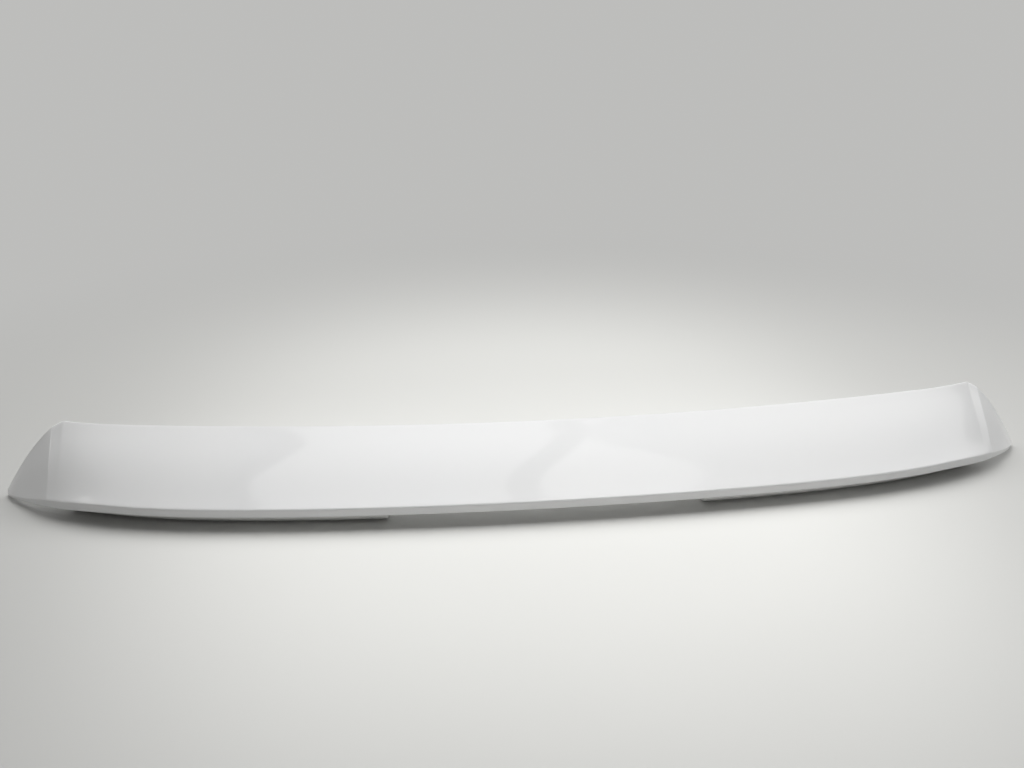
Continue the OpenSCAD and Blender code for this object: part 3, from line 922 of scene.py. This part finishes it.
# %% Natural nylon
nylon, shader, place = finish_of("natural_nylon", IOR=1.53, Subsurface_Weight=0.25,
                                 Subsurface_Scale=2 * mm)
nylon_dark, nylon_pale = (0.70, 0.67, 0.58, 1), (0.76, 0.74, 0.66, 1)
flow = place.noise(180, 3.0)
tint = flow.between(0.3, 0.7).blend(nylon_dark, nylon_pale)
set_on(shader, Base_Color=tint, Roughness=0.4 + 0.1 * flow,
       Normal=relief(place.noise(1500, 2.0), fine_depth, 0.4))
wear(nylon, *clips)

# %% [markdown]
# ## Floor
#
# The spoiler lies on a wide pale floor. A studio hides the horizon with a curved backdrop. Here the
# floor's shader does it, which needs no second surface: it keeps the shadow near the spoiler, and
# farther away it fades to one plain tone for the camera, which the air beyond has too. The floor's
# colour is also painted darker away from the spoiler, to both sides and behind it, as painted shade
# where the light falls off.

# %% Floor
backdrop = (0.51, 0.51, 0.50, 1)
floor_size = 60.0
floor_white, floor_pale = (0.80, 0.80, 0.78, 1), (0.79, 0.79, 0.77, 1)
far_shade_grey, side_shade_grey = (0.56, 0.56, 0.55, 1), (0.50, 0.50, 0.49, 1)
rear_shade_grey = (0.50, 0.50, 0.485, 1)


def rays_of_sight(wire):
    """1 for rays that a camera, a mirror or a glass looks along, 0 for rays that gather light."""
    path = wire.node("ShaderNodeLightPath", out="Is Camera Ray")
    mirror, glass = (Wire(path.socket.node.outputs[f"Is {kind} Ray"])
                     for kind in ("Glossy", "Transmission"))
    seen = path + mirror + glass
    return seen.math("MINIMUM", seen, 1.0)


floor_x, floor_y = floor_size * np.array([[-1, 1, 1, -1], [-1, -1, 1, 1]])
floor = make_piece("floor", points(floor_x, floor_y, 0), np.array([[0, 1, 2, 3]]))
floor_finish, shader, place = finish_of("matt_floor", Roughness=0.75)
tooth = place.noise(900, 3.0)
away = place.node("ShaderNodeVectorMath", {"operation": "LENGTH"}, {0: place}, out="Value")
tint = place.noise(2.5, 3.0).between(0.3, 0.7).blend(floor_pale, floor_white)
# Painted shade: the floor's colour darkens away from the spoiler, to both sides and behind it,
# where the light falls off
# The ranges are metres from the middle of the part, or their squares where the place is squared
tint = away.between(0.25, 0.9).blend(tint, far_shade_grey)
aside = place.node("ShaderNodeSeparateXYZ", None, {0: place}, out="X")
tint = ((aside * aside).between(0.03, 0.35) * 0.75).blend(tint, side_shade_grey)
behind = place.node("ShaderNodeSeparateXYZ", None, {0: place}, out="Y").between(-0.1, 0.4)
tint = (behind * 0.6).blend(tint, rear_shade_grey)
set_on(shader, Base_Color=tint, Normal=relief(tooth, 0.05 * mm, 0.3))
glow = place.node("ShaderNodeEmission", None, {"Color": backdrop})
plain = away.between(0.45, 1.25) * rays_of_sight(place)
surface = place.node("ShaderNodeMixShader", None,
                     {0: plain, 1: Wire(shader.outputs[0]), 2: glow})
output = floor_finish.node_tree.nodes["Material Output"]
floor_finish.node_tree.links.new(surface.socket, output.inputs["Surface"])
wear(floor_finish, floor)

# %% [markdown]
# ## Lamps
#
# The strongest light is one wide softbox above the spoiler, which gives the fall of light towards
# the ends and the soft shadow. A second one lights the right-hand cheek, and a dim third one, low
# in front, the lip. A sun would be simpler, but its shadow is hard and its light even. The lamps
# don't show in reflections, because a mirrored lamp would put a hard white patch on the creases.


# %% Softboxes
def softbox(name, place, look_at, size, power):
    """A rectangular lamp that faces a point. It tips up from straight down by the angle whose
    cosine is the fall of its line of sight, and turns to that line's heading."""
    lamp = bpy.data.lights.new(name, "AREA")
    lamp.shape, (lamp.size, lamp.size_y) = "RECTANGLE", size
    lamp.energy = power
    lamp_at = bpy.data.objects.new(name, lamp)
    lamp_at.location = place
    look = np.array(look_at, float) - np.array(place, float)
    lamp_at.rotation_euler = (math.acos(-look[2] / np.linalg.norm(look)), 0,
                              math.atan2(look[1], look[0]) - math.pi / 2)
    lamp_at.visible_glossy = False
    bpy.context.scene.collection.objects.link(lamp_at)
    print(f"{name}: {power} W, {size[0]} by {size[1]} m")


softbox("key", (0.04, 0.42, 0.95), (0.04, 0.27, 0), (1.2, 1.4), 9.5)
softbox("side", (1.75, 0.25, 0.95), (0.57, 0, 0.05), (0.8, 0.6), 6.6)
softbox("fill", (0.85, -1.15, 0.45), (0.3, -0.05, 0.03), (0.8, 0.6), 0.8)

# %% [markdown]
# ## Ceiling
#
# A glossy face shows what is above it. Under an even sky the paint would look dull, so pale panels
# hang overhead side by side, and the darker gaps and steps between them draw soft bands on it. A
# picture of a ceiling could do the same. Panels made of a few lines in plan are easier to move
# until a band lies where it should.

# %% Ceiling
ceiling_z = 2.3
front, back = -0.3, 1.7
end_left, end_right = -2.4, 2.5
far_left, far_right = -6, 8


def on(line, y):
    """The plan point at y on a line, which crosses y = 0 at x = at and leans sideways by a share
    of the way back."""
    at, lean = line
    return (at + lean * y, y)


def ceiling_panel(name, corners, strength):
    """A level, evenly bright panel through plan corners, which the camera doesn't see."""
    plan = np.array(corners)
    panel = make_piece(name, points(plan[:, 0], plan[:, 1], ceiling_z), np.arange(len(plan))[None])
    light = finish_of(f"{name}_light", Base_Color=(0, 0, 0, 1), Roughness=1.0,
                      Emission_Color=(1, 1, 0.985, 1), Emission_Strength=strength)[0]
    wear(light, panel)
    panel.visible_camera = False
    return panel


# Both edges of the dark gap and of the dim seam, and the fold where the near panel ends
gap_left, gap_right = (-0.96, 0.53), (-0.85, 0.53)
seam_left, seam_right = (0.05, 0.375), (0.17, 0.375)
fold = (1.105, -0.778)
meet = (fold[0] - seam_right[0]) / (seam_right[1] - fold[1])
ceiling_panel("ceiling_left", strength=0.85,
              corners=[(end_left, front), (end_left, back), on(gap_left, back),
                       on(gap_left, front)])
ceiling_panel("ceiling_middle", strength=1.75,
              corners=[on(gap_right, front), on(gap_right, back), on(seam_left, back),
                       on(seam_left, front)])
ceiling_panel("ceiling_seam", strength=0.8,
              corners=[on(seam_left, front), on(seam_left, back), on(seam_right, back),
                       on(seam_right, front)])
ceiling_panel("ceiling_near", strength=2.1,
              corners=[on(seam_right, front), on(seam_right, meet), on(fold, front)])
ceiling_panel("ceiling_right", strength=1.2,
              corners=[on(fold, front), on(fold, meet), on(seam_right, back),
                       (end_right, back), (end_right, front)])
for name, x_from, x_to, strength in (("ceiling_far_left", far_left, end_left, 2.2),
                                     ("ceiling_far_right", end_right, far_right, 1.3)):
    plan = [(x_from, front), (x_from, 2 * back), (x_to, 2 * back), (x_to, front)]
    ceiling_panel(name, plan, strength).visible_diffuse = False

# %% [markdown]
# ## Air
#
# What is left of the light comes from all round. One even grey would fill the shadow under the lip,
# so the air is bright only high up and behind. Rays that look at it see the backdrop's plain tone
# instead, as they do on the floor.

# %% Air
world = bpy.data.worlds.new("air")
bpy.context.scene.world = world
world.use_nodes = True
air = world.node_tree.nodes["Background"]
air.inputs["Color"].default_value = tuple(c / backdrop[0] for c in backdrop[:3]) + (1,)
way = Wire(air.inputs["Color"]).node("ShaderNodeTexCoord", out="Generated")
# A direction's parts run from -1 to 1, so 0 is level and 0.9 is nearly overhead
height = way.node("ShaderNodeSeparateXYZ", None, {0: way}, out="Z").between(0.0, 0.9)
behind = way.node("ShaderNodeSeparateXYZ", None, {0: way}, out="Y").between(-0.8, 0.6)
air_low, air_high = 0.05, 0.5
gathered = air_low + (air_high - air_low) * height * behind
seen = rays_of_sight(way)
strength = gathered * (1 - seen) + backdrop[0] * seen
world.node_tree.links.new(strength.socket, air.inputs["Strength"])
print(f"air: strength {air_low} to {air_high} for light, {backdrop[0]} for sight")

# %% [markdown]
# ## Camera
#
# The camera looks down on the spoiler from in front, a little from the left. It could be turned
# towards the part by a constraint. Its place, tilt and turn are written as numbers instead, because
# they were found together with the focal length, which is given in pixels of a picture's width.

# %% Camera
focal_px, picture_px = 1100, 1024
look_down, turn_right = math.radians(21.04), math.radians(6.62)
lens = bpy.data.cameras.new("camera")
lens.sensor_width = 36
lens.lens = focal_px / picture_px * lens.sensor_width
camera = bpy.data.objects.new("camera", lens)
camera.location = (-0.163, -1.1172, 0.565)
camera.rotation_euler = (math.pi / 2 - look_down, 0, -turn_right)
bpy.context.scene.collection.objects.link(camera)
bpy.context.scene.camera = camera
bpy.context.scene.view_settings.view_transform = "Standard"
print(f"camera: {lens.lens:.1f} mm lens")
